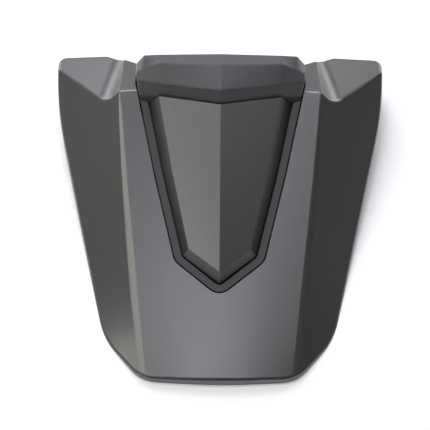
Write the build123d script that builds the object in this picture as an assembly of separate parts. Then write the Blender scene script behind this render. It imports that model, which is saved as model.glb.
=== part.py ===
from build123d import *
import os
from math import atan, atan2, cos, hypot, radians, sin, tan

# Seat cowl for a motorbike tail, in millimetres.
# +Z is up, +Y runs forward to the rider, and the rim stands on Z = 0.
# Stations are measured forward from the tail edge, setbacks and negative stations back from the
# front edge, half widths from the middle plane and insets inwards from the sides.

# Overall form of the cowl
LENGTH = 265.0
WIDTH = 263.0
TAIL_HEIGHT = 6.0
TAIL_SLOPE = 0.207
CREST_SETBACK = 48.0
CREST_HEIGHT = 74.5
WALL = 2.5
CLEARANCE = 0.6

# Creases between the deck and the sides
CREASE_TAIL = 57.2
CREASE_MIDDLE = 68.6
CREASE_MIDDLE_STATION = 90.0
CREASE_CREST = 79.7
CREASE_ROUND_TAIL = 14.0
CREASE_ROUND_CREST = 3.0

# Deck crown, raised at the tail and sunk between the horns
CROWN_TAIL = 2.5
CROWN_CREST = -4.0

# Sides, slanted from the crease to a shoulder and upright from there to the rim
SIDE_TAIL = 81.0
SIDE_TUCK = 12.0
SIDE_TUCK_STATION = 50.0
SIDE_RADIUS = 225.0
SIDE_SLOPE = 38.0
SIDE_OVERHANG = 10.0
SHOULDER_BLEND = 4.0
SHOULDER_ROUND = 3.0
SKIRT_DROP = 12.0
CREST_ROUND = 1.5
TAIL_SECTIONS = (-8.0, 6.0, 24.0, 50.0, 90.0, 140.0)
FRONT_SECTION_SETBACKS = (75.0, 30.0, -20.0)

# Plan outline of the tail and the front wall
TAIL_BOW = 0.83
TAIL_BOW_RADIUS = 530.0
TAIL_EDGE_HALF = 59.8
TAIL_EDGE_STATION = 2.5
TAIL_EDGE_RADIUS = 28.0
TAIL_CORNER_STATION = 37.4
TAIL_CORNER_RADIUS = 60.0
HORN_STRAIGHT = 42.0
HORN_CORNER_RADIUS = 7.0
HORN_VERTEX_HALF = 91.7
HORN_VERTEX_RADIUS = 8.0
HORN_SETBACK = 12.0
FRONT_HOLLOW = 4.0
FRONT_HOLLOW_RADIUS = 300.0
SILL_CORNER_RADIUS = 5.0

# Front slope of the horns and the dished scoop in it, angles in degrees
FRONT_SLOPE = 22.5
SCOOP_SLOPE = 12.6
SCOOP_FALL = 4.8
SCOOP_DEPTH = 11.4
SCOOP_WALL = 50.0
SCOOP_ROUND = 20.0
SCOOP_EDGE_ROUND = 3.0
SCOOP_SPLAY = 12.7

# Window of the garnish and the slot for the pad
WINDOW_TIP_STATION = 63.6
WINDOW_TIP_RADIUS = 12.0
WINDOW_CORNER_HALF = 35.2
WINDOW_CORNER_STATION = 90.1
WINDOW_CORNER_RADIUS = 12.0
WINDOW_WAIST_HALF = 51.9
WINDOW_WAIST_STATION = 155.0
WINDOW_WAIST_RADIUS = 500.0
SLOT_HALF = 67.5
SLOT_SETBACK = 40.0
SLOT_SILL = 24.0
SLOT_CORNER_RADIUS = 40.0

# Bezel that fills the window
BEZEL_GAP = 1.2
BEZEL_STRIP = 5.4
BEZEL_FLANGE = 9.0
BEZEL_FLANGE_SETBACK = 60.0
BEZEL_FRONT_SETBACK = 36.0
POCKET_DEPTH = 9.0
PLATE = 2.5

# Raised garnish, with heights above the plane of the window
GROOVE = 1.3
GARNISH_FOOT_HEIGHT = -2.0
GARNISH_SIDE_BEVEL = 36.0
GARNISH_TIP_BEVEL = 41.0
RIDGE_TIP_HEIGHT = 5.2
RIDGE_PAD_HEIGHT = 13.5
RIDGE_FALL = 5.5
GARNISH_ROUND = 0.8

# Pad, with its creases as setbacks and lifts above the crest, in the middle and towards its ends
PAD_GAP = 1.3
PAD_SETBACK = 63.2
PAD_SWEEP = 9.6
PAD_FRONT_SETBACK = 18.0
PAD_FACET_WIDTH = 19.2
PAD_CORNER_WIDTH = 6.2
PAD_LIP = 11.2
PAD_ROUND = 1.5
PAD_MIDDLE = ((58.5, 18.0), (38.0, 24.3), (25.6, 20.3))
PAD_FACET = ((50.8, 14.8), (35.8, 22.3), (25.6, 18.7))
PAD_CORNER = ((47.2, 12.9), (38.0, 16.3), (25.6, 18.1))
PAD_END = ((45.5, 12.0), (39.0, 13.5), (27.5, 9.0))

# Board behind the pad
BACKING_SETBACK = 35.6
BACKING_FOOT = 12.0
BACKING_FOOT_HALF = 30.0
BACKING_FLANGE = 15.0
GUSSET_HALF = 50.0
SEAT_GAP = 0.2

# Base plate, its striker pocket and its tongues
BASE_HEIGHT = 9.0
BASE_REAR_STATION = 52.0
NOTCH_HALF = 40.0
NOTCH_STATION = 80.0
POCKET_SETBACK = 73.0
POCKET_WIDTH = 62.0
POCKET_LENGTH = 44.0
POCKET_TOP = 42.0
POCKET_DRAFT = 4.0
RIB = 2.0
RIB_DROP = 4.0
RIB_HALF = 46.0
RIB_FRONT_SETBACK = 22.0
RIB_PLACES = ((14.0, 128.0), (38.5, -29.0))
TONGUE_HALF = 54.0
TONGUE_WIDTH = 22.0
TONGUE_TIP_STATION = 24.0
TONGUE_THICKNESS = 3.8
TONGUE_HEIGHT = 2.2

# Lock striker
STRIKER_ROD = 8.0
STRIKER_LEG_HALF = 11.0
STRIKER_REACH = 25.0
STRIKER_BEND = 9.0
STRIKER_PLATE_WIDTH = 54.0
STRIKER_PLATE_LENGTH = 26.0
STRIKER_BOLT_HALF = 21.5
BOLT = 6.0
BOLT_LENGTH = 12.0
BOLT_HEAD = 4.0
BOLT_FLATS = 10.0
NUT_HEIGHT = 5.0

# Screws and bumpers
SCREW = 4.0
SCREW_HEAD = 8.0
SCREW_HEAD_HEIGHT = 2.4
SCREW_LENGTH = 8.0
BEZEL_SCREW_LENGTH = 5.5
PAD_SCREW_LENGTH = 14.0
HOLE_CLEARANCE = 0.2
BOSS = 9.0
BUMPER = 16.0
BUMPER_STEM = 8.0
BUMPER_HEIGHT = 7.5
BUMPER_EDGE = 1.5
BASE_SCREW_PLACES = ((36.0, 68.0), (18.0, 118.0), (19.0, -60.0))
BUMPER_PLACES = ((37.0, 88.0), (31.0, 160.0), (27.0, -25.0))
BEZEL_SCREW_STATIONS = (112.0, 150.0, -75.0)
GARNISH_SCREW_PLACES = ((14.0, 108.0), (26.0, -93.0))
PAD_SCREW_HALVES = (-42.0, 0.0, 42.0)
BACKING_SCREW_HALF = 42.0
BACKING_SCREW_HEIGHT = 40.0

CREST_STATION = LENGTH - CREST_SETBACK
SLOT_STATION = LENGTH - SLOT_SETBACK
BEZEL_FLANGE_STATION = LENGTH - BEZEL_FLANGE_SETBACK
BEZEL_FRONT_STATION = LENGTH - BEZEL_FRONT_SETBACK
PAD_STATION = LENGTH - PAD_SETBACK
PAD_FRONT_STATION = LENGTH - PAD_FRONT_SETBACK
BACKING_STATION = LENGTH - BACKING_SETBACK
POCKET_STATION = LENGTH - POCKET_SETBACK
RIB_FRONT_STATION = LENGTH - RIB_FRONT_SETBACK
SIDE_STATION = LENGTH - HORN_STRAIGHT
SIDE_FLARE = (WIDTH / 2 - SIDE_TAIL) / SIDE_STATION
SIDE_BLEND = SIDE_RADIUS * (1 / cos(atan(SIDE_FLARE) / 2) - 1)
DECK_BEND = (CREST_HEIGHT - TAIL_HEIGHT - TAIL_SLOPE * CREST_STATION) / CREST_STATION**2
TALL = 2 * CREST_HEIGHT
STANDING = (Align.CENTER, Align.CENTER, Align.MIN)
HANGING = (Align.CENTER, Align.CENTER, Align.MAX)


def along(station):
    """Y of a station measured from the tail edge."""
    return station - LENGTH / 2


def deck_height(station):
    """Height of the creases, which curve up gently towards the crest."""
    return TAIL_HEIGHT + TAIL_SLOPE * station + DECK_BEND * station**2


def between(start, end, station):
    """Value at a station that runs evenly from the tail to the crest."""
    return start + (end - start) * station / CREST_STATION


def crease_half_width(station):
    """Half width of the deck on a curve through tail, middle and crest."""
    middle_rate = (CREASE_MIDDLE - CREASE_TAIL) / CREASE_MIDDLE_STATION
    crest_rate = (CREASE_CREST - CREASE_TAIL) / CREST_STATION
    bend = (crest_rate - middle_rate) / (CREST_STATION - CREASE_MIDDLE_STATION)
    rate = middle_rate - bend * CREASE_MIDDLE_STATION
    return CREASE_TAIL + rate * station + bend * station**2


def side_half_width(station):
    """Half width at the shoulder, tucked in at the tail and straight along the horns."""
    flared = SIDE_TAIL + SIDE_FLARE * station
    tuck = SIDE_TUCK * max(0.0, 1 - station / SIDE_TUCK_STATION) ** 2
    widest = WIDTH / 2
    return (flared + widest) / 2 - hypot((flared - widest) / 2, SIDE_BLEND) - tuck


def shoulder_height(station):
    """Height where the slanted side turns upright, which runs out softly towards the tail."""
    reach = side_half_width(station) - crease_half_width(station)
    height = deck_height(station) - reach * tan(radians(SIDE_SLOPE))
    return (height + hypot(height, SHOULDER_BLEND)) / 2


def meet(point_a, way_a, point_b, way_b):
    """Crossing point of two lines in the section plane."""
    cross = way_a[0] * way_b[1] - way_a[1] * way_b[0]
    reach = ((point_b[0] - point_a[0]) * way_b[1] - (point_b[1] - point_a[1]) * way_b[0]) / cross
    return (point_a[0] + reach * way_a[0], point_a[1] + reach * way_a[1])


def flip(point):
    """The same point on the other side of the middle plane."""
    return (-point[0], point[1])


def both_sides(solid):
    """A solid on the right, with its mirror image on the left."""
    return [solid, mirror(solid, about=Plane.YZ)]


def section(station, inset):
    """Cross-section at a station, offset inwards by the inset, with sides that overhang the plan outline."""
    crease = (crease_half_width(station), deck_height(station))
    shoulder = (side_half_width(station), shoulder_height(station))
    slope = atan2(crease[1] - shoulder[1], shoulder[0] - crease[0])
    side_way = (cos(slope), -sin(slope))
    on_side = (crease[0] - inset * sin(slope), crease[1] - inset * cos(slope))
    toe = meet(on_side, side_way, (shoulder[0] + SIDE_OVERHANG, 0.0), (0.0, 1.0))
    foot = (toe[0], -SKIRT_DROP)

    # Corner of the deck and the side, and where its rounding starts on each
    deck_slope = atan(TAIL_SLOPE + 2 * DECK_BEND * station)
    corner = meet(on_side, side_way, (0.0, crease[1] - inset / cos(deck_slope)), (1.0, 0.0))
    crown = between(CROWN_TAIL, CROWN_CREST, station)
    turn = slope - atan(2 * crown / corner[0])
    rounding = max(between(CREASE_ROUND_TAIL, CREASE_ROUND_CREST, station) - inset, WALL / 4)
    setback = rounding * tan(turn / 2)
    side_end = (corner[0] + setback * side_way[0], corner[1] + setback * side_way[1])
    deck_x = corner[0] - setback
    deck_end = (deck_x, corner[1] + crown * (1 - (deck_x / corner[0]) ** 2))
    deck_way = (-1.0, 2 * crown * deck_x / corner[0] ** 2)
    peak = meet(side_end, side_way, deck_end, deck_way)
    deck_peak = (0.0, deck_end[1] + deck_x * deck_way[1])

    outline = [
        Line(foot, toe),
        Line(toe, side_end),
        Bezier(side_end, peak, deck_end),
        Bezier(deck_end, deck_peak, flip(deck_end)),
        Bezier(flip(deck_end), flip(peak), flip(side_end)),
        Line(flip(side_end), flip(toe)),
        Line(flip(toe), flip(foot)),
        Line(flip(foot), foot),
    ]
    plane = Plane(origin=(0, along(station), 0), x_dir=(1, 0, 0), z_dir=(0, -1, 0))
    return plane * make_face(outline)


def hull(inset):
    """Lofted body of the cowl, longer and wider than the finished part."""
    stations = TAIL_SECTIONS + tuple(LENGTH - setback for setback in FRONT_SECTION_SETBACKS)
    return loft([section(station, inset) for station in stations])


def symmetric_face(corners):
    """Face from (half width, distance, radius) corners of its right half, rear to front."""
    mirrored = [(-x, y, r) for x, y, r in reversed(corners) if x > 0]
    ring = corners + mirrored
    path = FilletPolyline(*[(x, y) for x, y, _ in ring], radius=[r for _, _, r in ring], close=True)
    return make_face(path)


def cowl_plan(inset):
    """Outline of the tail, the sides and the front wall, seen from above."""
    side = WIDTH / 2
    tail_corner_half = SIDE_TAIL + SIDE_FLARE * TAIL_CORNER_STATION
    face = symmetric_face([
        (0.0, along(-TAIL_BOW), TAIL_BOW_RADIUS),
        (TAIL_EDGE_HALF, along(TAIL_EDGE_STATION), TAIL_EDGE_RADIUS),
        (tail_corner_half, along(TAIL_CORNER_STATION), TAIL_CORNER_RADIUS),
        (side, along(SIDE_STATION), SIDE_RADIUS),
        (side, along(LENGTH), HORN_CORNER_RADIUS),
        (HORN_VERTEX_HALF, along(LENGTH), HORN_VERTEX_RADIUS),
        (SLOT_HALF, along(LENGTH - HORN_SETBACK), SILL_CORNER_RADIUS),
        (0.0, along(LENGTH - HORN_SETBACK - FRONT_HOLLOW), FRONT_HOLLOW_RADIUS),
    ])
    return offset(face, amount=-inset) if inset > 0 else face


def front_slope(inset):
    """Everything above the slope that falls from the crest to the front edge."""
    drop = inset / cos(radians(FRONT_SLOPE))
    reach = LENGTH - CREST_STATION
    fall = reach * tan(radians(FRONT_SLOPE))
    low = CREST_HEIGHT - drop
    profile = Polyline(
        (along(CREST_STATION - reach), low + fall),
        (along(CREST_STATION + 2 * reach), low - 2 * fall),
        (along(CREST_STATION + 2 * reach), low + TALL),
        (along(CREST_STATION - reach), low + TALL),
        close=True,
    )
    return extrude(Plane.YZ * make_face(profile), WIDTH, both=True)


def scoop(inset):
    """Dished cut in the right horn's front slope, with a rounded wall along the crease."""
    crest = (CREASE_CREST, CREST_HEIGHT)
    rise = 4 * SCOOP_DEPTH
    spread = rise / tan(radians(SCOOP_WALL))
    corner = (crest[0] + SCOOP_DEPTH / tan(radians(SCOOP_WALL)), crest[1] - SCOOP_DEPTH)
    far = crest[0] + WIDTH / 2
    profile = make_face(Polyline(
        (crest[0] - spread, crest[1] + rise),
        corner,
        (far, corner[1] - (far - corner[0]) * tan(radians(SCOOP_FALL))),
        (far, crest[1] + rise),
        close=True,
    ))
    profile = fillet(profile.vertices().sort_by_distance(Vector(*corner))[0], SCOOP_ROUND)
    reach = LENGTH - CREST_STATION
    way = Vector(-tan(radians(SCOOP_SPLAY)), 1, -tan(radians(SCOOP_SLOPE)))
    start = Vector(0, along(CREST_STATION), 0) - way * reach
    shift = Vector(-inset * tan(radians(SCOOP_WALL / 2)), 0, -inset / cos(radians(SCOOP_SLOPE)))
    plane = Plane(origin=start + shift, x_dir=(1, 0, 0), z_dir=(0, -1, 0))
    return extrude(plane * profile, amount=3 * reach * way.length, dir=way.normalized())


def cowl_form(inset):
    """Solid of the cowl, offset inwards by the inset, with its rim below Z = 0."""
    form = hull(inset) & Pos(0, 0, -2 * SKIRT_DROP) * extrude(cowl_plan(inset), TALL)
    form = form - front_slope(inset)
    for cut in both_sides(scoop(inset)):
        form = form - cut
    return form


def rounded_form():
    """Outer solid of the cowl, with the scoops' outer edges, the crest and the shoulder rounded."""
    form = cowl_form(0)
    plan = cowl_plan(0).face().outer_wire()

    def off_plan(edge):
        place = edge.center()
        return plan.distance_to(Vertex(place.X, place.Y, 0))

    def on_scoop(edge):
        place = edge.center()
        outer = abs(place.X) > HORN_VERTEX_HALF and place.Y > along(CREST_STATION)
        return outer and off_plan(edge) > SHOULDER_ROUND

    def on_crest(edge):
        place = edge.center()
        return edge.length > CREASE_CREST and abs(place.X) < WALL and place.Z > CREST_HEIGHT + 2 * CROWN_CREST

    def on_shoulder(edge):
        place = edge.center()
        level = abs(edge.tangent_at(0.5).Z) < sin(radians(SIDE_SLOPE))
        upper = place.Z > -SKIRT_DROP / 2
        inner = place.Y > along(CREST_STATION) and abs(place.X) < SLOT_HALF
        return level and upper and not inner and off_plan(edge) < CLEARANCE / 10

    rounds = ((on_scoop, SCOOP_EDGE_ROUND), (on_crest, CREST_ROUND), (on_shoulder, SHOULDER_ROUND))
    for chosen, radius in rounds:
        form = fillet([edge for edge in form.edges() if chosen(edge)], radius)
    return form


def trim(solid, origin, normal):
    """The part of a solid that lies behind a plane."""
    return split(solid, bisect_by=Plane(origin=origin, z_dir=normal), keep=Keep.BOTTOM)


def block(low, high):
    """Box from two opposite corners given as (half width, station, height)."""
    size = [b - a for a, b in zip(low, high)]
    return Pos(low[0], along(low[1]), low[2]) * Box(*size, align=Align.MIN)


def uphill(station, lift=0.0):
    """Distance along the window plane, from the window's tip to a point at a station and a lift."""
    return (station - WINDOW_TIP_STATION + lift * sin(WINDOW_TILT)) / cos(WINDOW_TILT)


def plane_height(station, lift):
    """Height at a station on a plane that lies above the window plane by the lift."""
    return WINDOW_PLANE.origin.Z + (station - WINDOW_TIP_STATION) * tan(WINDOW_TILT) + lift / cos(WINDOW_TILT)


def window_corners():
    """Corners of the window's right half in its own plane, tip to front."""
    return [
        (0.0, 0.0, WINDOW_TIP_RADIUS),
        (WINDOW_CORNER_HALF, uphill(WINDOW_CORNER_STATION), WINDOW_CORNER_RADIUS),
        (WINDOW_WAIST_HALF, uphill(WINDOW_WAIST_STATION), WINDOW_WAIST_RADIUS),
        (SLOT_HALF, uphill(SLOT_STATION), SLOT_CORNER_RADIUS),
        (SLOT_HALF, uphill(LENGTH), WALL),
    ]


def window_face(shrink):
    """Shield outline of the window, made smaller all round by the shrink."""
    face = symmetric_face(window_corners())
    return offset(face, amount=-shrink) if shrink else face


def window_half_width(station):
    """Half width of the window between its corner and the slot."""
    ends = ((WINDOW_CORNER_STATION, WINDOW_CORNER_HALF), (WINDOW_WAIST_STATION, WINDOW_WAIST_HALF),
            (SLOT_STATION, SLOT_HALF))
    low, high = ends[:2] if station < WINDOW_WAIST_STATION else ends[1:]
    return low[1] + (high[1] - low[1]) * (station - low[0]) / (high[0] - low[0])


def window_slab(shrink, low, high, front_station=LENGTH):
    """Slab of the shield outline between two lifts, cut off square at a front station."""
    face = window_face(shrink)
    if front_station < LENGTH:
        far = 2 * WIDTH
        face = face & Pos(0, uphill(front_station, low) - far / 2) * Rectangle(far, far)
    return WINDOW_PLANE * extrude(Pos(0, 0, low) * face, high - low)


def pad_rear(half_width):
    """Station of the pad's swept rear edge at a half width."""
    return PAD_STATION + half_width * tan(radians(PAD_SWEEP))


def pad_room():
    """Space of the pad and everything in front of it, with its gap."""
    side = WIDTH / 2
    path = Polyline(
        (-side, along(pad_rear(side) - PAD_GAP)),
        (0.0, along(PAD_STATION - PAD_GAP)),
        (side, along(pad_rear(side) - PAD_GAP)),
        (side, along(2 * LENGTH)),
        (-side, along(2 * LENGTH)),
        close=True,
    )
    return extrude(make_face(path), TALL)


def screw(length):
    """Pan-head screw that points up, with its head under Z = 0 and a cross recess."""
    head = Cylinder(SCREW_HEAD / 2, SCREW_HEAD_HEIGHT, align=HANGING)
    head = fillet(head.edges().group_by(Axis.Z)[0], SCREW_HEAD_HEIGHT / 3)
    for size in ((SCREW, SCREW / 5), (SCREW / 5, SCREW)):
        head = head - Pos(0, 0, -SCREW_HEAD_HEIGHT) * Box(*size, SCREW_HEAD_HEIGHT)
    return head + Cylinder(SCREW / 2, length, align=STANDING)


def screw_hole(depth):
    """Clearance hole for a screw that points up from Z = 0."""
    wide = SCREW + HOLE_CLEARANCE
    return Pos(0, 0, -PLATE) * Cylinder(wide / 2, depth + PLATE, align=STANDING)


def from_tail(station):
    """Station measured from the tail, also where it was given back from the front edge."""
    return station if station > 0 else LENGTH + station


def mirrored_places(places):
    """Places on both sides of the middle plane."""
    return [(sign * x, from_tail(station)) for x, station in places for sign in (1, -1)]


def inset_places(places):
    """Half widths and stations of places that were given by their inset from the sides."""
    return [(side_half_width(from_tail(station)) - inset, station) for inset, station in places]


def base_seats():
    """Where the screws of the shell and of the backing foot enter the base plate."""
    foot = [(BACKING_FOOT_HALF, BACKING_STATION - BACKING_FOOT / 2)]
    places = mirrored_places(inset_places(BASE_SCREW_PLACES) + foot)
    return [Pos(x, along(s), BASE_HEIGHT) for x, s in places]


def bezel_seats():
    """Where the bezel's screws enter its flange from below."""
    places = [(window_half_width(from_tail(s)) + BEZEL_FLANGE / 2, s) for s in BEZEL_SCREW_STATIONS]
    under = -POCKET_DEPTH - PLATE
    return [WINDOW_PLANE * Pos(x, uphill(s), under) for x, s in mirrored_places(places)]


def garnish_seats():
    """Where the garnish's screws enter the bezel's floor from below."""
    under = -POCKET_DEPTH - PLATE
    return [WINDOW_PLANE * Pos(x, uphill(s), under) for x, s in mirrored_places(GARNISH_SCREW_PLACES)]


def pad_seats():
    """Where the pad's screws enter the backing flange from below."""
    station = BACKING_STATION - BACKING_FLANGE / 2
    under = -POCKET_DEPTH - 2 * PLATE
    return [WINDOW_PLANE * Pos(x, uphill(station, under), under) for x in PAD_SCREW_HALVES]


def backing_seats():
    """Where the pad's lower screws enter the backing board from behind."""
    halves = (BACKING_SCREW_HALF, -BACKING_SCREW_HALF)
    return [Pos(x, along(BACKING_STATION), BACKING_SCREW_HEIGHT) * Rot(X=-90) for x in halves]


def cut_holes(solid, seats, depth):
    """A solid with a screw hole at each seat."""
    for seat in seats:
        solid = solid - seat * screw_hole(depth)
    return solid


def cowl_shell():
    """Painted shell, open below, with the window, the pad slot and its screw bosses."""
    ground = Pos(0, 0, -TALL / 2) * Box(2 * WIDTH, 2 * LENGTH, TALL)
    shell = rounded_form() - cowl_form(WALL) - ground
    shell = shell - window_slab(0, -2 * POCKET_DEPTH, TALL)
    shell = shell - block((-SLOT_HALF, SLOT_STATION, SLOT_SILL), (SLOT_HALF, 2 * LENGTH, TALL))
    skin = cowl_form(WALL / 2)
    post = Cylinder(BOSS / 2, TALL, align=STANDING)
    posts = [seat * Pos(0, 0, PLATE) * post for seat in base_seats()[:2 * len(BASE_SCREW_PLACES)]]
    bosses = [seat * Pos(0, 0, PLATE) * post for seat in bezel_seats()]
    for boss in posts + bosses:
        shell = shell + (boss & skin)
    shell = cut_holes(shell, base_seats(), SCREW_LENGTH + CLEARANCE)
    return cut_holes(shell, bezel_seats(), BEZEL_SCREW_LENGTH + CLEARANCE)


def garnish_bezel():
    """Shield-shaped carrier: a floor under the deck and a strip that comes up flush with it."""
    under = -POCKET_DEPTH - PLATE
    floor = window_slab(BEZEL_GAP, under, -POCKET_DEPTH, BEZEL_FRONT_STATION)
    floor = floor + window_slab(-BEZEL_FLANGE, under, -POCKET_DEPTH, BEZEL_FLANGE_STATION)
    strip = hull(0) & window_slab(BEZEL_GAP, -POCKET_DEPTH, TALL)
    strip = strip - window_slab(BEZEL_GAP + BEZEL_STRIP, -2 * POCKET_DEPTH, TALL) - pad_room()
    bezel = floor + strip
    for seats in (bezel_seats(), garnish_seats(), pad_seats()):
        bezel = cut_holes(bezel, seats, TALL / 4)
    return bezel


def garnish_block(inset):
    """Bevelled shield with a centre ridge, in the window plane, offset inwards by the inset."""
    shrink = BEZEL_GAP + BEZEL_STRIP + GROOVE
    low = -POCKET_DEPTH - inset
    body = extrude(Pos(0, 0, low) * window_face(shrink + inset), 4 * RIDGE_PAD_HEIGHT)
    tip, corner, waist, slot = [Vector(x, y, GARNISH_FOOT_HEIGHT) for x, y, _ in window_corners()[:4]]
    bevels = ((tip, corner, GARNISH_TIP_BEVEL), (corner, waist, GARNISH_SIDE_BEVEL),
              (waist, slot, GARNISH_SIDE_BEVEL))
    for start, end, lean in bevels:
        way = (end - start).normalized()
        outward = Vector(way.Y, -way.X, 0)
        normal = outward * cos(radians(lean)) + Vector(0, 0, sin(radians(lean)))
        origin = start - outward * shrink - normal * inset
        for side in (1, -1):
            body = trim(body, (side * origin.X, origin.Y, origin.Z), (side * normal.X, normal.Y, normal.Z))
    rise = (RIDGE_PAD_HEIGHT - RIDGE_TIP_HEIGHT) / uphill(PAD_STATION)
    for side in (1, -1):
        normal = Vector(side * tan(radians(RIDGE_FALL)), -rise, 1).normalized()
        body = trim(body, Vector(0, 0, RIDGE_TIP_HEIGHT) - normal * inset, normal)
    return body


def centre_garnish():
    """Hollow raised garnish with screw bosses inside."""
    solid = garnish_block(0)
    shown = [edge for edge in solid.edges() if edge.center().Z > GARNISH_FOOT_HEIGHT + GARNISH_ROUND]
    solid = fillet(shown, GARNISH_ROUND)
    garnish = WINDOW_PLANE * (solid - garnish_block(WALL))
    skin = WINDOW_PLANE * garnish_block(WALL / 2)
    post = Cylinder(BOSS / 2, TALL, align=STANDING)
    for seat in garnish_seats():
        garnish = garnish + (seat * Pos(0, 0, PLATE) * post & skin)
    return cut_holes(garnish - pad_room(), garnish_seats(), SCREW_LENGTH + CLEARANCE)


def pad_section(half_width, creases):
    """Side profile of the pad at a half width, from its creases."""
    rear = pad_rear(abs(half_width))
    ridges = [(LENGTH - setback, CREST_HEIGHT + lift) for setback, lift in creases]
    bottom = SLOT_SILL + PAD_GAP
    behind = BACKING_STATION + PLATE + SEAT_GAP
    seat = -POCKET_DEPTH + SEAT_GAP
    points = [(rear, plane_height(rear, seat)), (rear, ridges[0][1] - PAD_LIP), *ridges]
    points += [(PAD_FRONT_STATION, bottom), (behind, bottom), (behind, plane_height(behind, seat))]
    plane = Plane(origin=(half_width, 0, 0), x_dir=(0, 1, 0), z_dir=(1, 0, 0))
    return plane * make_face(Polyline(*[(along(s), z) for s, z in points], close=True))


def backrest_pad():
    """Moulded pad with a swept rear edge, facetted ends and a face towards the rider."""
    end = SLOT_HALF - PAD_GAP
    ends = [(end - PAD_FACET_WIDTH, PAD_FACET), (end - PAD_CORNER_WIDTH, PAD_CORNER), (end, PAD_END)]
    halves = [(-half, creases) for half, creases in reversed(ends)] + [(0.0, PAD_MIDDLE)] + ends
    pad = loft([pad_section(half, creases) for half, creases in halves], ruled=True)
    pad = pad & window_slab(PAD_GAP, -TALL / 2, TALL)
    pad = fillet([edge for edge in pad.edges() if edge.center().Z > CREST_HEIGHT + PAD_ROUND], PAD_ROUND)
    pad = cut_holes(pad, pad_seats(), PAD_SCREW_LENGTH + CLEARANCE)
    return cut_holes(pad, backing_seats(), SCREW_LENGTH + CLEARANCE)


def pad_backing():
    """Upright board behind the pad, with a flange under the bezel, a foot and gussets."""
    half = SLOT_HALF - PAD_GAP
    floor = BASE_HEIGHT + PLATE
    board = block((-half, BACKING_STATION, floor), (half, BACKING_STATION + PLATE, TALL))
    foot = block((-half, BACKING_STATION - BACKING_FOOT, floor), (half, BACKING_STATION, floor + PLATE))
    wedge = Polyline(
        (along(BACKING_STATION - BACKING_FOOT), floor),
        (along(BACKING_STATION), floor),
        (along(BACKING_STATION), floor + 2 * BACKING_FOOT),
        close=True,
    )
    gusset = extrude(Plane.YZ * make_face(wedge), RIB / 2, both=True)
    backing = board + foot
    for place in (-GUSSET_HALF, 0.0, GUSSET_HALF):
        backing = backing + Pos(place, 0, 0) * gusset
    under = WINDOW_PLANE.offset(-POCKET_DEPTH - PLATE)
    backing = trim(backing, under.origin, under.z_dir)
    length = BACKING_FLANGE / cos(WINDOW_TILT)
    lift = -POCKET_DEPTH - 2 * PLATE
    flange = Pos(0, uphill(BACKING_STATION + PLATE, lift) - length / 2, lift)
    backing = backing + WINDOW_PLANE * flange * Box(2 * half, length, PLATE, align=STANDING)
    backing = backing - block((-half, BACKING_STATION + PLATE, 0), (half, LENGTH, TALL))
    backing = cut_holes(backing, base_seats(), SCREW_LENGTH + CLEARANCE)
    backing = cut_holes(backing, pad_seats(), TALL / 4)
    return cut_holes(backing, backing_seats(), TALL / 4)


def base_plate():
    """Ribbed base with a pocket for the striker and two tongues at the rear."""
    under = BASE_HEIGHT
    top = BASE_HEIGHT + PLATE
    fit = cowl_form(WALL + CLEARANCE)
    base = fit & block((-WIDTH, BASE_REAR_STATION, under), (WIDTH, LENGTH, top))
    base = base - block((-NOTCH_HALF, 0, 0), (NOTCH_HALF, NOTCH_STATION, TALL))
    ribs = [(0.0, NOTCH_STATION, POCKET_STATION - POCKET_LENGTH / 2)]
    ribs += [(side * RIB_HALF, BASE_REAR_STATION + TONGUE_THICKNESS, RIB_FRONT_STATION) for side in (1, -1)]
    for place, rear, front in ribs:
        base = base + block((place - RIB / 2, rear, under - RIB_DROP), (place + RIB / 2, front, under))
    for half, place in inset_places(RIB_PLACES):
        station = from_tail(place)
        base = base + block((-half, station - RIB / 2, under - RIB_DROP), (half, station + RIB / 2, under))
    tray = Pos(0, along(POCKET_STATION), under)
    room = extrude(Rectangle(POCKET_WIDTH, POCKET_LENGTH), POCKET_TOP - PLATE - under, taper=POCKET_DRAFT)
    wide = Rectangle(POCKET_WIDTH + 2 * PLATE, POCKET_LENGTH + 2 * PLATE)
    base = base + tray * extrude(wide, POCKET_TOP - under, taper=POCKET_DRAFT)
    base = base - tray * room
    for sign in (1, -1):
        low = sign * TONGUE_HALF - TONGUE_WIDTH / 2
        high = sign * TONGUE_HALF + TONGUE_WIDTH / 2
        tongue = block((low, TONGUE_TIP_STATION, TONGUE_HEIGHT),
                       (high, BASE_REAR_STATION + TONGUE_THICKNESS, TONGUE_HEIGHT + TONGUE_THICKNESS))
        tip = tongue.edges().group_by(Axis.Y)[0]
        tongue = chamfer(tip.filter_by(Axis.X), TONGUE_THICKNESS / 3)
        riser = block((low, BASE_REAR_STATION, TONGUE_HEIGHT),
                      (high, BASE_REAR_STATION + TONGUE_THICKNESS, top))
        base = base + tongue + riser
    for place, station in mirrored_places(inset_places(BUMPER_PLACES)):
        hole = Cylinder((BUMPER_STEM + HOLE_CLEARANCE) / 2, TALL / 4)
        base = base - Pos(place, along(station), under) * hole
    for place in (-STRIKER_BOLT_HALF, STRIKER_BOLT_HALF):
        hole = Cylinder((BOLT + HOLE_CLEARANCE) / 2, 4 * PLATE)
        base = base - Pos(place, along(POCKET_STATION), POCKET_TOP) * hole
    return cut_holes(base, base_seats(), TALL / 4)


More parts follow.
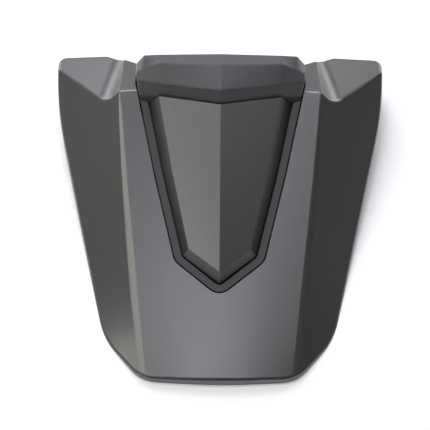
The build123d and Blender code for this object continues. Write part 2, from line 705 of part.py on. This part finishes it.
def lock_striker():
    """Bent rod on a plate, bolted under the roof of the base plate's pocket."""
    plate_top = POCKET_TOP - PLATE
    level = plate_top - PLATE
    low = level - STRIKER_REACH
    path = FilletPolyline((-STRIKER_LEG_HALF, level), (-STRIKER_LEG_HALF, low), (STRIKER_LEG_HALF, low),
                          (STRIKER_LEG_HALF, level), radius=STRIKER_BEND)
    path = Plane(origin=(0, along(POCKET_STATION), 0), x_dir=(1, 0, 0), z_dir=(0, -1, 0)) * path
    start = Plane(origin=path @ 0, z_dir=path % 0)
    rod = sweep(start * Circle(STRIKER_ROD / 2), path=path)
    plate = extrude(RectangleRounded(STRIKER_PLATE_WIDTH, STRIKER_PLATE_LENGTH, STRIKER_ROD / 2), PLATE)
    plate = Pos(0, along(POCKET_STATION), level) * plate
    for place in (-STRIKER_BOLT_HALF, STRIKER_BOLT_HALF):
        hole = Cylinder((BOLT + HOLE_CLEARANCE) / 2, 4 * PLATE)
        plate = plate - Pos(place, along(POCKET_STATION), level) * hole
    return rod + plate


def hexagon(height):
    """Hexagon bar of the bolt's head and nut, with two flats across X."""
    return extrude(RegularPolygon(BOLT_FLATS / 2, 6, major_radius=False, rotation=30), height)


def striker_bolts():
    """Two hexagon bolts that point up through the striker plate and the pocket roof."""
    level = POCKET_TOP - 2 * PLATE
    shank = Cylinder(BOLT / 2, BOLT_LENGTH, align=STANDING)
    bolt = Pos(0, 0, -BOLT_HEAD) * hexagon(BOLT_HEAD) + shank
    return [Pos(x, along(POCKET_STATION), level) * bolt for x in (-STRIKER_BOLT_HALF, STRIKER_BOLT_HALF)]


def striker_nuts():
    """Two nuts on the pocket roof."""
    nut = hexagon(NUT_HEIGHT) - Cylinder((BOLT + HOLE_CLEARANCE) / 2, 4 * NUT_HEIGHT)
    return [Pos(x, along(POCKET_STATION), POCKET_TOP) * nut for x in (-STRIKER_BOLT_HALF, STRIKER_BOLT_HALF)]


def rubber_bumpers():
    """Push-in cushions: a head under the base plate, a stem through it and a bulb above."""
    top = BASE_HEIGHT + PLATE
    low = BASE_HEIGHT - BUMPER_HEIGHT
    wide = BUMPER / 2
    stem = BUMPER_STEM / 2
    outline = Polyline(
        (0, low),
        (wide - BUMPER_EDGE, low),
        (wide, low + BUMPER_EDGE),
        (wide, BASE_HEIGHT),
        (stem, BASE_HEIGHT),
        (stem, top),
        (stem + BUMPER_EDGE, top),
        (stem - BUMPER_EDGE, top + stem),
        (0, top + stem),
        close=True,
    )
    bumper = revolve(Plane.XZ * make_face(outline), Axis.Z)
    return [Pos(x, along(s), 0) * bumper for x, s in mirrored_places(inset_places(BUMPER_PLACES))]


def group(solids):
    """Separate solids of one kind in one node."""
    return Compound(children=[solid if isinstance(solid, Solid) else solid.solid() for solid in solids])


WINDOW_RISE = deck_height(PAD_STATION) - deck_height(WINDOW_TIP_STATION)
WINDOW_TILT = atan(WINDOW_RISE / (PAD_STATION - WINDOW_TIP_STATION))
WINDOW_PLANE = Plane(
    origin=(0, along(WINDOW_TIP_STATION), deck_height(WINDOW_TIP_STATION)),
    x_dir=(1, 0, 0),
    z_dir=(0, -sin(WINDOW_TILT), cos(WINDOW_TILT)),
)

nodes = {
    "cowl_shell": cowl_shell(),
    "garnish_bezel": garnish_bezel(),
    "centre_garnish": centre_garnish(),
    "backrest_pad": backrest_pad(),
    "pad_backing": pad_backing(),
    "base_plate": base_plate(),
    "lock_striker": lock_striker(),
    "striker_bolts": group(striker_bolts()),
    "striker_nuts": group(striker_nuts()),
    "base_screws": group([seat * screw(SCREW_LENGTH) for seat in base_seats()]),
    "bezel_screws": group([seat * screw(BEZEL_SCREW_LENGTH) for seat in bezel_seats()]),
    "garnish_screws": group([seat * screw(SCREW_LENGTH) for seat in garnish_seats()]),
    "pad_screws": group([seat * screw(PAD_SCREW_LENGTH) for seat in pad_seats()]),
    "backing_screws": group([seat * screw(SCREW_LENGTH) for seat in backing_seats()]),
    "rubber_bumpers": group(rubber_bumpers()),
}

os.makedirs("parts", exist_ok=True)
for name, shape in nodes.items():
    export_step(shape, f"parts/{name}.step")
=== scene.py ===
"""Seat cowl of a motorbike: dresses its solids, models the soft pad and sets up the studio."""

from __future__ import annotations

import logging
import math
from dataclasses import dataclass, field
from enum import Enum
from typing import Any

import bpy
from mathutils import Matrix, Vector

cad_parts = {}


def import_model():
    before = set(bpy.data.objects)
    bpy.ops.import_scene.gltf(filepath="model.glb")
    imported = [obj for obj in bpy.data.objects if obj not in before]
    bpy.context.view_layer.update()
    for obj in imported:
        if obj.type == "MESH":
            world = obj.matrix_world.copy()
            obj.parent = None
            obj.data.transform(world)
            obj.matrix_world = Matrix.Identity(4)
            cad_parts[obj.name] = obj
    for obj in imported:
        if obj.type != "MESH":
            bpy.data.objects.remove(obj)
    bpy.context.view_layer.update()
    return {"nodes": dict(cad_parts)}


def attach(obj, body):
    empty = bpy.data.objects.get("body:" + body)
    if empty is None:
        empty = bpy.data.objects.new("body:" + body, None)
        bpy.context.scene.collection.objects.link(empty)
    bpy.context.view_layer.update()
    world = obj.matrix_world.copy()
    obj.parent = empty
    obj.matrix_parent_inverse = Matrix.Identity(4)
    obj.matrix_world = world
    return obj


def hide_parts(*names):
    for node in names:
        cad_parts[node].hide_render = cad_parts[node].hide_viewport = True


LOG = logging.getLogger("seat_cowl")
BODY = "root"

Colour = tuple[float, float, float]
Triple = tuple[float, float, float]
Stops = tuple[tuple[float, float], ...]
Value = Any


class Operation(Enum):
    """Maths that a shader value can take part in."""

    ADD = "ADD"
    SUBTRACT = "SUBTRACT"
    MULTIPLY = "MULTIPLY"
    DIVIDE = "DIVIDE"
    MAXIMUM = "MAXIMUM"


class Wire:
    """One number in a shader, which grows Math nodes when it is used in an expression."""

    def __init__(self, tree: ShaderTree, socket: bpy.types.NodeSocket) -> None:
        """Keeps the tree and the output socket that gives the number."""
        self.tree = tree
        self.socket = socket

    def join(self, operation: Operation, first: Value, second: Value) -> Wire:
        """Adds one Math node.

        Args:
            operation: What the node does.
            first: Left value or wire.
            second: Right value or wire.

        Returns:
            The node's result.
        """
        settings = {"operation": operation.value}
        return self.tree.node("ShaderNodeMath", settings, {0: first, 1: second})

    def __add__(self, other: Value) -> Wire:
        """Sum."""
        return self.join(Operation.ADD, self, other)

    __radd__ = __add__

    def __sub__(self, other: Value) -> Wire:
        """Difference."""
        return self.join(Operation.SUBTRACT, self, other)

    def __rsub__(self, other: Value) -> Wire:
        """Difference from a plain number."""
        return self.join(Operation.SUBTRACT, other, self)

    def __mul__(self, other: Value) -> Wire:
        """Product."""
        return self.join(Operation.MULTIPLY, self, other)

    __rmul__ = __mul__

    def __truediv__(self, other: Value) -> Wire:
        """Quotient."""
        return self.join(Operation.DIVIDE, self, other)

    def __rtruediv__(self, other: Value) -> Wire:
        """Quotient of a plain number."""
        return self.join(Operation.DIVIDE, other, self)

    def over(self, other: Value) -> Wire:
        """The larger of two values."""
        return self.join(Operation.MAXIMUM, self, other)


class ShaderTree:
    """Node tree of a material or the world, emptied and ready for new nodes."""

    def __init__(self, tree: bpy.types.NodeTree) -> None:
        """Empties the tree."""
        self.tree = tree
        tree.nodes.clear()

    def node(
        self,
        kind: str,
        settings: dict[str, Any] | None = None,
        inputs: dict[str | int, Value] | None = None,
        output: str | int = 0,
    ) -> Wire:
        """Adds one node.

        Args:
            kind: Blender's type name of the node.
            settings: Attributes that are set first; "stops" holds a ramp's positions and greys.
            inputs: Socket names, identifiers or numbers with their values or wires.
            output: Name or number of the output that is returned.

        Returns:
            The chosen output.
        """
        made = self.tree.nodes.new(kind)
        for name, value in (settings or {}).items():
            if name == "stops":
                self._set_stops(made.color_ramp, value)
            else:
                setattr(made, name, value)
        for name, value in (inputs or {}).items():
            socket = self._find(made.inputs, name)
            if isinstance(value, Wire):
                self.tree.links.new(value.socket, socket)
            else:
                socket.default_value = value
        return Wire(self, self._find(made.outputs, output) if made.outputs else None)

    @staticmethod
    def _set_stops(ramp: bpy.types.ColorRamp, stops: Stops) -> None:
        """Gives a ramp its grey stops.

        Args:
            ramp: Ramp that is filled.
            stops: Places along it with their greys.
        """
        for spare in list(ramp.elements)[len(stops):]:
            ramp.elements.remove(spare)
        while len(ramp.elements) < len(stops):
            ramp.elements.new(1.0)
        for element, (place, grey) in zip(ramp.elements, stops):
            element.position = place
            element.color = (grey, grey, grey, 1.0)

    @staticmethod
    def _find(sockets: Any, name: str | int) -> bpy.types.NodeSocket:
        """Finds a socket.

        Args:
            sockets: Inputs or outputs of a node.
            name: Number, identifier or name of the socket.

        Returns:
            The socket.
        """
        if isinstance(name, int):
            return sockets[name]
        for socket in sockets:
            if socket.identifier == name:
                return socket
        return sockets[name]

    def object_place(self) -> Wire:
        """The point on the piece, in metres."""
        return self.node("ShaderNodeTexCoord", output="Object")

    def noise(self, grain: float, detail: float = 2.0, roughness: float = 0.5) -> Wire:
        """Soft noise.

        Args:
            grain: Size of the largest grain in metres.
            detail: How many finer layers are added.
            roughness: How strong the finer layers are.

        Returns:
            A number from about 0 to 1.
        """
        inputs = {
            "Vector": self.object_place(),
            "Scale": 1.0 / grain,
            "Detail": detail,
            "Roughness": roughness,
        }
        return self.node("ShaderNodeTexNoise", {}, inputs, "Fac")

    def cells(self, grain: float, output: str = "Distance") -> Wire:
        """Cell pattern with a grain size in metres."""
        inputs = {"Vector": self.object_place(), "Scale": 1.0 / grain}
        return self.node("ShaderNodeTexVoronoi", {}, inputs, output)

    def ramp(self, value: Wire, stops: Stops) -> Wire:
        """A value sent through grey stops."""
        return self.node("ShaderNodeValToRGB", {"stops": stops}, {"Fac": value})

    def blend(self, factor: Value, low: Colour, high: Colour) -> Wire:
        """Colour between two others.

        Args:
            factor: 0 for the first colour and 1 for the second.
            low: First colour.
            high: Second colour.

        Returns:
            The blended colour.
        """
        settings = {"data_type": "RGBA"}
        inputs = {"Factor_Float": factor, "A_Color": (*low, 1.0), "B_Color": (*high, 1.0)}
        return self.node("ShaderNodeMix", settings, inputs, "Result_Color")

    def vary(self, tone: Wire, colour: Colour, contrast: float) -> Wire:
        """A colour made darker and lighter by a tone, each way by the contrast."""
        return self.blend(tone, shade(colour, 1.0 - contrast), shade(colour, 1.0 + contrast))

    def bump(self, height: Wire, distance: float) -> Wire:
        """Surface normal of a height from 0 to 1, whose full height is the distance in metres."""
        inputs = {"Height": height, "Distance": distance, "Strength": 1.0}
        return self.node("ShaderNodeBump", {}, inputs)


def shade(colour: Colour, factor: float) -> Colour:
    """A colour made lighter or darker by a factor."""
    return (colour[0] * factor, colour[1] * factor, colour[2] * factor)


class Finish:
    """Base of the finishes: makes one material from nodes."""

    name: str

    def material(self) -> bpy.types.Material:
        """Makes the material.

        Returns:
            A new material with this finish's nodes.
        """
        made = bpy.data.materials.new(self.name)
        made.use_nodes = True
        tree = ShaderTree(made.node_tree)
        shader = tree.node("ShaderNodeBsdfPrincipled", {}, self.sockets(tree))
        tree.node("ShaderNodeOutputMaterial", {}, {"Surface": shader})
        return made

    def sockets(self, tree: ShaderTree) -> dict[str | int, Value]:
        """Values and wires of the shader's sockets.

        Args:
            tree: Tree that the nodes go into.

        Returns:
            Socket names with their values.
        """
        raise NotImplementedError


@dataclass(frozen=True)
class MetallicPaint(Finish):
    """Satin metallic paint: fine flakes, a faint cloudiness and a little orange peel."""

    name: str
    colour: Colour
    roughness: float = 0.31
    roughness_shift: float = -0.03
    metallic: float = 0.85
    coat: float = 0.12
    coat_roughness: float = 0.3
    flake: float = 0.0005
    flake_contrast: float = 0.06
    flake_share: float = 0.7
    flake_gloss: float = 0.04
    cloud: float = 0.07
    cloud_gloss: float = 0.03
    peel: float = 0.005
    peel_height: float = 0.000006

    def sockets(self, tree: ShaderTree) -> dict[str | int, Value]:
        """Values and wires of the paint.

        Args:
            tree: Tree that the nodes go into.

        Returns:
            Socket names with their values.
        """
        speck = tree.node("ShaderNodeSeparateColor", {}, {0: tree.cells(self.flake, "Color")})
        cloud = tree.noise(self.cloud, detail=3.0)
        tone = self.flake_share * speck + (1.0 - self.flake_share) * cloud
        base = self.roughness + self.roughness_shift
        return {
            "Base Color": tree.vary(tone, self.colour, self.flake_contrast),
            "Roughness": base + self.flake_gloss * speck + self.cloud_gloss * cloud,
            "Metallic": self.metallic,
            "Coat Weight": self.coat,
            "Coat Roughness": self.coat_roughness,
            "Normal": tree.bump(tree.noise(self.peel, detail=1.0), self.peel_height),
        }


@dataclass(frozen=True)
class MouldedVinyl(Finish):
    """Moulded skin of a foam pad: pebbled grain with paler tops and a soft sheen."""

    name: str
    colour: Colour
    roughness: float = 0.42
    roughness_shift: float = 0.06
    sheen: float = 0.2
    pebble: float = 0.0009
    pebble_height: float = 0.00003
    pebble_stops: Stops = ((0.0, 1.0), (0.75, 0.0))
    pebble_share: float = 0.6
    pebble_gloss: float = 0.08
    pore: float = 0.3
    pore_share: float = 0.5
    wear: float = 0.03
    wear_gloss: float = 0.05
    contrast: float = 0.14

    def sockets(self, tree: ShaderTree) -> dict[str | int, Value]:
        """Values and wires of the skin.

        Args:
            tree: Tree that the nodes go into.

        Returns:
            Socket names with their values.
        """
        pebble = tree.ramp(tree.cells(self.pebble), self.pebble_stops)
        worn = tree.noise(self.wear, detail=3.0)
        tone = self.pebble_share * pebble + (1.0 - self.pebble_share) * worn
        height = pebble + self.pore_share * tree.noise(self.pebble * self.pore)
        base = self.roughness + self.roughness_shift
        return {
            "Base Color": tree.vary(tone, self.colour, self.contrast),
            "Roughness": base - self.pebble_gloss * pebble + self.wear_gloss * worn,
            "Sheen Weight": self.sheen,
            "Normal": tree.bump(height, self.pebble_height),
        }


@dataclass(frozen=True)
class MouldedPlastic(Finish):
    """Textured moulded plastic: fine grain and faint flow marks."""

    name: str
    colour: Colour
    roughness: float = 0.5
    grain: float = 0.0004
    grain_height: float = 0.00003
    grain_share: float = 0.5
    flow: float = 0.04
    contrast: float = 0.18
    gloss_swing: float = 0.12

    def sockets(self, tree: ShaderTree) -> dict[str | int, Value]:
        """Values and wires of the plastic.

        Args:
            tree: Tree that the nodes go into.

        Returns:
            Socket names with their values.
        """
        grain = tree.noise(self.grain, detail=3.0, roughness=0.6)
        flow = tree.noise(self.flow)
        tone = self.grain_share * grain + (1.0 - self.grain_share) * flow
        base = self.roughness - self.gloss_swing / 2.0
        return {
            "Base Color": tree.vary(tone, self.colour, self.contrast),
            "Roughness": base + self.gloss_swing * tone,
            "Normal": tree.bump(grain, self.grain_height),
        }


@dataclass(frozen=True)
class PlatedSteel(Finish):
    """Plated steel with cloudy plating and faint drawing marks."""

    name: str
    colour: Colour
    roughness: float = 0.32
    roughness_shift: float = -0.08
    cloud: float = 0.012
    cloud_shades: tuple[float, float] = (0.85, 1.1)
    cloud_gloss: float = 0.14
    scratch: float = 0.0005
    scratch_height: float = 0.00001
    scratch_gloss: float = 0.06

    def sockets(self, tree: ShaderTree) -> dict[str | int, Value]:
        """Values and wires of the steel.

        Args:
            tree: Tree that the nodes go into.

        Returns:
            Socket names with their values.
        """
        cloud = tree.noise(self.cloud, detail=3.0)
        scratch = tree.noise(self.scratch, roughness=0.7)
        dull, bright = self.cloud_shades
        base = self.roughness + self.roughness_shift
        return {
            "Base Color": tree.blend(cloud, shade(self.colour, dull), shade(self.colour, bright)),
            "Roughness": base + self.cloud_gloss * cloud + self.scratch_gloss * scratch,
            "Metallic": 1.0,
            "Normal": tree.bump(scratch, self.scratch_height),
        }


@dataclass(frozen=True)
class MattRubber(Finish):
    """Matt rubber with a bloom of dust."""

    name: str
    colour: Colour
    roughness: float = 0.8
    gloss_swing: float = 0.2
    bloom: float = 0.006
    bloom_shade: float = 2.2
    grain: float = 0.0003
    grain_height: float = 0.00002

    def sockets(self, tree: ShaderTree) -> dict[str | int, Value]:
        """Values and wires of the rubber.

        Args:
            tree: Tree that the nodes go into.

        Returns:
            Socket names with their values.
        """
        bloom = tree.noise(self.bloom, detail=4.0)
        return {
            "Base Color": tree.blend(bloom, self.colour, shade(self.colour, self.bloom_shade)),
            "Roughness": self.roughness - self.gloss_swing / 2.0 + self.gloss_swing * bloom,
            "Normal": tree.bump(tree.noise(self.grain), self.grain_height),
        }


def only(piece: bpy.types.Object) -> None:
    """Deselects everything and makes one piece selected and active.

    Args:
        piece: The piece that the next operators act on.
    """
    bpy.ops.object.select_all(action="DESELECT")
    piece.select_set(True)
    bpy.context.view_layer.objects.active = piece


def paint_node(nodes: dict[str, bpy.types.Object], name: str, material: bpy.types.Material) -> None:
    """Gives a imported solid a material.

    Args:
        nodes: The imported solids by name.
        name: Which solid.
        material: What it is covered with.
    """
    for slot in nodes[name].material_slots:
        slot.material = material
    LOG.info("%s dressed in %s", name, material.name)


@dataclass
class PaintedShell:
    """Outer shell with the horns and the scoops."""

    node: str = "cowl_shell"
    paint: MetallicPaint = field(
        default_factory=lambda: MetallicPaint("gunmetal_shell_paint", (0.125, 0.125, 0.125))
    )

    def dress(self, nodes: dict[str, bpy.types.Object]) -> None:
        """Paints the shell."""
        paint_node(nodes, self.node, self.paint.material())


@dataclass
class CentreGarnish:
    """Raised garnish, the bezel round it and the screws under both."""

    garnish: str = "centre_garnish"
    bezel: str = "garnish_bezel"
    screws: tuple[str, ...] = ("bezel_screws", "garnish_screws")
    paint: MetallicPaint = field(
        default_factory=lambda: MetallicPaint(
            "gunmetal_garnish_paint", (0.125, 0.125, 0.125), flake=0.0006
        )
    )
    plastic: MouldedPlastic = field(
        default_factory=lambda: MouldedPlastic(
            "bezel_plastic", (0.034, 0.034, 0.035), roughness=0.56
        )
    )
    steel: PlatedSteel = field(
        default_factory=lambda: PlatedSteel("black_screw_steel", (0.09, 0.09, 0.092))
    )

    def dress(self, nodes: dict[str, bpy.types.Object]) -> None:
        """Covers the garnish, the bezel and their screws.

        Args:
            nodes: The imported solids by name.
        """
        paint_node(nodes, self.garnish, self.paint.material())
        paint_node(nodes, self.bezel, self.plastic.material())
        steel = self.steel.material()
        for name in self.screws:
            paint_node(nodes, name, steel)


@dataclass
class BackrestPad:
    """Soft pad between the horns, modelled over its solid, with the board and screws behind it."""

    node: str = "backrest_pad"
    board: str = "pad_backing"
    screws: tuple[str, ...] = ("pad_screws", "backing_screws")
    slot: str = "pad_cover"
    merge: float = 1e-5
    voxel: float = 0.001
    soften_factor: float = 0.5
    soften_rounds: int = 4
    fill: float = 0.95
    vinyl: MouldedVinyl = field(
        default_factory=lambda: MouldedVinyl("pad_vinyl", (0.045, 0.045, 0.048))
    )
    plastic: MouldedPlastic = field(
        default_factory=lambda: MouldedPlastic("backing_plastic", (0.03, 0.03, 0.031))
    )
    steel: PlatedSteel = field(
        default_factory=lambda: PlatedSteel("black_pad_screw_steel", (0.09, 0.09, 0.092))
    )

    def build(self, nodes: dict[str, bpy.types.Object]) -> bpy.types.Object:
        """Models the pad with soft creases.

        Args:
            nodes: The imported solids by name.

        Returns:
            The finished pad.
        """
        mesh = nodes[self.node].data.copy()
        pad = bpy.data.objects.new("pad_cushion", mesh)
        bpy.context.scene.collection.objects.link(pad)
        only(pad)
        bpy.ops.object.mode_set(mode="EDIT")
        bpy.ops.mesh.select_all(action="SELECT")
        bpy.ops.mesh.remove_doubles(threshold=self.merge)
        bpy.ops.object.mode_set(mode="OBJECT")
        mesh.remesh_voxel_size = self.voxel
        bpy.ops.object.voxel_remesh()
        soften = pad.modifiers.new("soften", "SMOOTH")
        soften.factor = self.soften_factor
        soften.iterations = self.soften_rounds
        bpy.ops.object.modifier_apply(modifier=soften.name)
        bpy.ops.object.shade_smooth()
        return pad

    def dress(self, nodes: dict[str, bpy.types.Object]) -> None:
        """Builds the pad and covers it, its board and its screws.

        Args:
            nodes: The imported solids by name.
        """
        pad = self.build(nodes)
        pad.data.materials.clear()
        pad.data.materials.append(self.vinyl.material())
        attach(pad, BODY)
        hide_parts(self.node)
        LOG.info("%s stands for %s", pad.name, self.node)
        paint_node(nodes, self.board, self.plastic.material())
        steel = self.steel.material()
        for name in self.screws:
            paint_node(nodes, name, steel)


@dataclass
class BasePlate:
    """Ribbed base under the shell, with its screws, its cushions and the lock loop."""

    plate: str = "base_plate"
    screws: str = "base_screws"
    cushions: str = "rubber_bumpers"
    loop_parts: tuple[str, ...] = ("lock_striker", "striker_bolts", "striker_nuts")
    plastic: MouldedPlastic = field(
        default_factory=lambda: MouldedPlastic("base_plastic", (0.028, 0.028, 0.03), roughness=0.55)
    )
    black_steel: PlatedSteel = field(
        default_factory=lambda: PlatedSteel("black_base_screw_steel", (0.09, 0.09, 0.092))
    )
    zinc: PlatedSteel = field(
        default_factory=lambda: PlatedSteel("zinc_plate", (0.62, 0.6, 0.54))
    )
    rubber: MattRubber = field(
        default_factory=lambda: MattRubber("cushion_rubber", (0.014, 0.014, 0.014))
    )

    def dress(self, nodes: dict[str, bpy.types.Object]) -> None:
        """Covers the base and what is fixed to it.

        Args:
            nodes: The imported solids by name.
        """
        paint_node(nodes, self.plate, self.plastic.material())
        paint_node(nodes, self.screws, self.black_steel.material())
        paint_node(nodes, self.cushions, self.rubber.material())
        zinc = self.zinc.material()
        for name in self.loop_parts:
            paint_node(nodes, name, zinc)


class Tint(Enum):
    """Colours of the lamps' light."""

    SKY = (0.9, 0.905, 1.0)
    HIGH_FRONT = (0.93, 0.94, 1.0)
    FRONT = (0.95, 0.965, 1.0)
    REAR = (1.0, 0.975, 0.93)
    CREASE = (1.0, 0.97, 0.92)
    SIDE = (1.0, 0.95, 0.88)


@dataclass(frozen=True)
class SoftBox:
    """One soft studio lamp that faces the object, with sizes in metres and power in watts."""

    name: str
    towards: Triple
    size: tuple[float, float]
    power: float
    tint: Tint
    distance: float = 1.3

    def build(self, aim: Vector) -> bpy.types.Object:
        """Hangs the lamp.

        Args:
            aim: Point that the lamp faces.

        Returns:
            The lamp.
        """
        lamp = bpy.data.lights.new(self.name, "AREA")
        lamp.shape = "RECTANGLE"
        lamp.size, lamp.size_y = self.size
        lamp.energy = self.power
        lamp.color = self.tint.value
        held = bpy.data.objects.new(self.name, lamp)
        bpy.context.scene.collection.objects.link(held)
        way = Vector(self.towards).normalized()
        held.location = aim + way * self.distance
        held.rotation_euler = way.to_track_quat("Z", "Y").to_euler()
        return held


@dataclass
class Studio:
    """Pale floor, soft lamps, a plain world and the camera of the photograph."""

    aim: Triple = (0.0, 0.0075, 0.045)
    elevation: float = 62.0
    azimuth: float = -1.06
    roll: float = -1.37
    distance: float = 1.25
    lens: float = 134.1
    sensor: float = 36.0
    shift: tuple[float, float] = (-0.0113, -0.045)
    floor_side: float = 12.0
    floor_colour: Colour = (0.92, 0.92, 0.92)
    floor_glow: float = 0.13
    floor_reach: float = 3.0
    far_stops: Stops = ((0.12, 0.0), (0.38, 1.0))
    world_colour: Colour = (1.0, 0.985, 0.965)
    world_strength: float = 0.14
    lamps: tuple[SoftBox, ...] = (
        SoftBox("overhead", (-0.05, 0.15, 1.0), (0.34, 0.36), 6.0, Tint.SKY),
        SoftBox("front_top", (-0.12, 0.95, 1.0), (0.7, 0.5), 5.5, Tint.HIGH_FRONT),
        SoftBox("crease_light", (-0.84, -0.08, 1.0), (0.3, 0.8), 3.0, Tint.CREASE),
        SoftBox("rear_left", (-0.38, -0.42, 0.9), (0.45, 0.45), 2.4, Tint.REAR),
        SoftBox("low_rear_left", (-0.68, -0.68, 0.27), (0.6, 0.6), 1.0, Tint.SIDE),
        SoftBox("left_fill", (-0.9, 0.0, 0.4), (0.7, 0.7), 0.5, Tint.SIDE),
        SoftBox("front_sheet", (0.0, 0.88, 0.46), (0.9, 0.75), 2.8, Tint.FRONT),
        SoftBox("front_left", (-0.68, 0.68, 0.27), (0.7, 0.7), 6.5, Tint.FRONT),
        SoftBox("front_right", (0.68, 0.68, 0.27), (0.7, 0.7), 6.0, Tint.FRONT),
    )

    def build(self) -> None:
        """Sets up the whole studio."""
        scene = bpy.context.scene
        scene.view_settings.view_transform = "Standard"
        self.build_floor()
        self.build_world(scene)
        self.build_camera(scene)
        for lamp in self.lamps:
            lamp.build(Vector(self.aim))
            LOG.info("lamp %s hung", lamp.name)

    @staticmethod
    def seen_directly(tree: ShaderTree) -> Wire:
        """Tells what is seen from what only lights the object.

        Args:
            tree: Tree that the nodes go into.

        Returns:
            One on a camera ray, in a reflection or through glass, and else zero.
        """
        camera = tree.node("ShaderNodeLightPath", output="Is Camera Ray")
        mirror = tree.node("ShaderNodeLightPath", output="Is Glossy Ray")
        through = tree.node("ShaderNodeLightPath", output="Is Transmission Ray")
        return camera.over(mirror).over(through)

    def build_floor(self) -> None:
        """Lays the floor under the rim: it takes the shadow, and turns plain white far away."""
        bpy.ops.object.select_all(action="DESELECT")
        bpy.ops.mesh.primitive_plane_add(size=self.floor_side, location=(0.0, 0.0, 0.0))
        floor = bpy.context.object
        floor.name = "studio_floor"
        made = bpy.data.materials.new("floor_paper")
        made.use_nodes = True
        tree = ShaderTree(made.node_tree)
        paper = tree.node("ShaderNodeBsdfDiffuse", {}, {"Color": (*self.floor_colour, 1.0)})
        seen = self.seen_directly(tree)
        glow = tree.node("ShaderNodeEmission", {}, {"Strength": self.floor_glow * seen})
        near = tree.node("ShaderNodeAddShader", {}, {0: paper, 1: glow})
        settings = {"operation": "LENGTH"}
        length = tree.node("ShaderNodeVectorMath", settings, {0: tree.object_place()}, "Value")
        far = tree.ramp(length / self.floor_reach, self.far_stops) * seen
        white = tree.node("ShaderNodeEmission", {}, {"Strength": 1.0})
        sweep = tree.node("ShaderNodeMixShader", {}, {0: far, 1: near, 2: white})
        tree.node("ShaderNodeOutputMaterial", {}, {"Surface": sweep})
        floor.data.materials.append(made)

    def build_world(self, scene: bpy.types.Scene) -> None:
        """Gives the world its even light.

        Args:
            scene: Scene that it goes into.
        """
        world = bpy.data.worlds.new("studio_world")
        world.use_nodes = True
        scene.world = world
        tree = ShaderTree(world.node_tree)
        inputs = {"Color": (*self.world_colour, 1.0), "Strength": self.world_strength}
        back = tree.node("ShaderNodeBackground", {}, inputs)
        tree.node("ShaderNodeOutputWorld", {}, {"Surface": back})

    def build_camera(self, scene: bpy.types.Scene) -> None:
        """Stands the camera where the photograph was taken.

        Args:
            scene: Scene that it goes into.
        """
        turn = math.radians(self.azimuth)
        lift = math.radians(self.elevation)
        lean = math.radians(self.roll)
        level = math.cos(lift)
        back = Vector((math.sin(turn) * level, -math.cos(turn) * level, math.sin(lift)))
        right = Vector((math.cos(turn), math.sin(turn), 0.0))
        up = back.cross(right)
        leaning_right = math.cos(lean) * right - math.sin(lean) * up
        leaning_up = math.sin(lean) * right + math.cos(lean) * up
        lens = bpy.data.cameras.new("photo_camera")
        lens.lens = self.lens
        lens.sensor_width = self.sensor
        lens.shift_x, lens.shift_y = self.shift
        camera = bpy.data.objects.new("photo_camera", lens)
        scene.collection.objects.link(camera)
        axes = Matrix((leaning_right, leaning_up, back)).transposed().to_4x4()
        camera.matrix_world = Matrix.Translation(Vector(self.aim) + self.distance * back) @ axes
        scene.camera = camera


def main() -> None:
    """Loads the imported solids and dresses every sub-assembly."""
    logging.basicConfig(level=logging.INFO, format="%(message)s")
    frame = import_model()
    nodes = frame["nodes"]
    for assembly in (PaintedShell(), CentreGarnish(), BackrestPad(), BasePlate()):
        assembly.dress(nodes)
    Studio().build()


if __name__ == "__main__":
    main()
